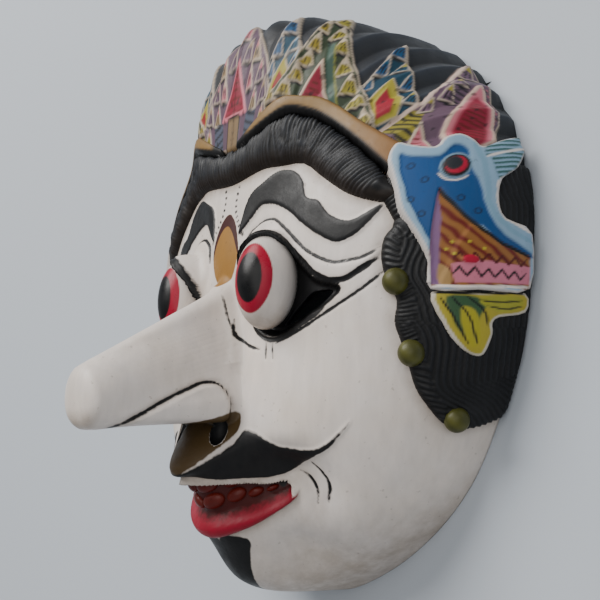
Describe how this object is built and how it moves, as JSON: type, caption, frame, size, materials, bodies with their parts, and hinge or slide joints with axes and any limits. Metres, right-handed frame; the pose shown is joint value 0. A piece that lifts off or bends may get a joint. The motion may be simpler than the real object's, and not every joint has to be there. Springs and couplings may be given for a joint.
{
  "type": "topeng mask",
  "caption": "Carved and painted wooden topeng mask with a long nose, bulging eyes, curled hair and a tall tiled crown, hollow behind, lying on its back rim.",
  "frame": {"origin": "on the plane of the back rim, under the middle of the mask's outline", "axes": "+X to the right as one looks at the face, +Y from the chin to the crown, +Z out of the face"},
  "size_m": [0.2016, 0.2194, 0.1148],
  "materials": {
    "painted_wood": "hand painted, worn satin"
  },
  "bodies": {
    "root": {"mask": "painted_wood"}
  },
  "joints": []
}
